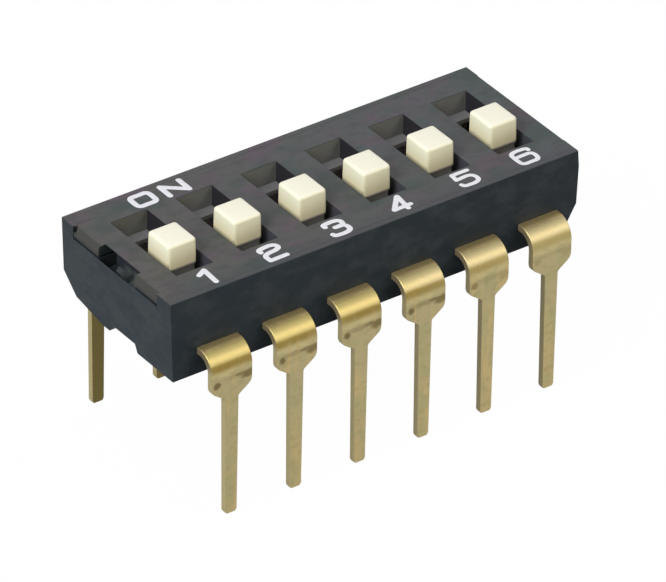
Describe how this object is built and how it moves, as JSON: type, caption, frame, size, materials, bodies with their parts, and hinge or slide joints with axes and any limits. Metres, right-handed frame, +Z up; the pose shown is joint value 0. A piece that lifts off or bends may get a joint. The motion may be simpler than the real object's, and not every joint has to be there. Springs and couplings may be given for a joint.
{
  "type": "slide dip switch",
  "caption": "Through-hole DIP switch: black moulded housing with a slotted cover, a row of small ivory slide actuators, and bent gold legs along both long sides.",
  "frame": {"origin": "centre of the housing, in the plane of the leg tips", "axes": "+X along the row of actuators, from actuator 1 to actuator 6; +Y across the body towards the ON side; +Z up, from the leg tips to the knobs"},
  "size_m": [0.0162, 0.0078, 0.009],
  "materials": {
    "case_black": "matte moulded thermoplastic",
    "cover_grey": "matte moulded thermoplastic, a little lighter than the case",
    "knob_ivory": "smooth ivory moulding",
    "terminal_gold": "gold-plated strip, dull, with bending marks",
    "contact_gold": "gold-plated spring strip"
  },
  "bodies": {
    "housing": {"housing_base": "case_black", "housing_cover": "cover_grey", "terminal_front_1": "terminal_gold", "terminal_front_2": "terminal_gold", "terminal_front_3": "terminal_gold", "terminal_front_4": "terminal_gold", "terminal_front_5": "terminal_gold", "terminal_front_6": "terminal_gold", "terminal_back_1": "terminal_gold", "terminal_back_2": "terminal_gold", "terminal_back_3": "terminal_gold", "terminal_back_4": "terminal_gold", "terminal_back_5": "terminal_gold", "terminal_back_6": "terminal_gold"},
    "actuator_1": {"slider_1": "knob_ivory", "contact_1": "contact_gold"},
    "actuator_2": {"slider_2": "knob_ivory", "contact_2": "contact_gold"},
    "actuator_3": {"slider_3": "knob_ivory", "contact_3": "contact_gold"},
    "actuator_4": {"slider_4": "knob_ivory", "contact_4": "contact_gold"},
    "actuator_5": {"slider_5": "knob_ivory", "contact_5": "contact_gold"},
    "actuator_6": {"slider_6": "knob_ivory", "contact_6": "contact_gold"}
  },
  "joints": [
    {"name": "slide_1", "type": "slide", "parent": "housing", "child": "actuator_1", "axis": [0, 1, 0], "range_m": [0, 0.00146]},
    {"name": "slide_2", "type": "slide", "parent": "housing", "child": "actuator_2", "axis": [0, 1, 0], "range_m": [0, 0.00146]},
    {"name": "slide_3", "type": "slide", "parent": "housing", "child": "actuator_3", "axis": [0, 1, 0], "range_m": [0, 0.00146]},
    {"name": "slide_4", "type": "slide", "parent": "housing", "child": "actuator_4", "axis": [0, 1, 0], "range_m": [0, 0.00146]},
    {"name": "slide_5", "type": "slide", "parent": "housing", "child": "actuator_5", "axis": [0, 1, 0], "range_m": [0, 0.00146]},
    {"name": "slide_6", "type": "slide", "parent": "housing", "child": "actuator_6", "axis": [0, 1, 0], "range_m": [0, 0.00146]}
  ]
}
